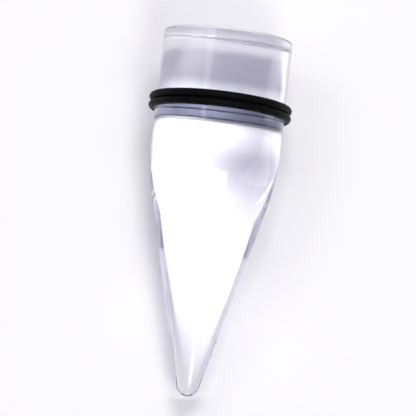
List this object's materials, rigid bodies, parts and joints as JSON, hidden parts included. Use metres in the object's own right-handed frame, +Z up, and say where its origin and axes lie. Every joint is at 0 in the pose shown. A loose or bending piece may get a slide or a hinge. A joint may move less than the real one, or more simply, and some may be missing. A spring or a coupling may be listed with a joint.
{
  "type": "ear stretching taper",
  "caption": "Clear acrylic ear stretching taper, a cone with a rounded point that grows into a straight wearing shaft, with rubber O-rings on the shaft; lies on its side.",
  "frame": {"origin": "on the floor, under the middle of the lying taper's outline", "axes": "+Z up; the taper's axis lies over Y with the point at -Y and the flat end at +Y, and rises 7.6 degrees towards the flat end as the taper rests on its shoulder and the tip-side O-ring"},
  "size_m": [0.0276, 0.071, 0.0279],
  "materials": {
    "clear_acrylic": "clear cast acrylic, turned and polished, with a faint cool tint",
    "black_rubber": "black satin O-ring rubber"
  },
  "bodies": {
    "root": {"taper_body": "clear_acrylic", "o_ring_head_side": "black_rubber", "o_ring_tip_side": "black_rubber"}
  },
  "joints": []
}
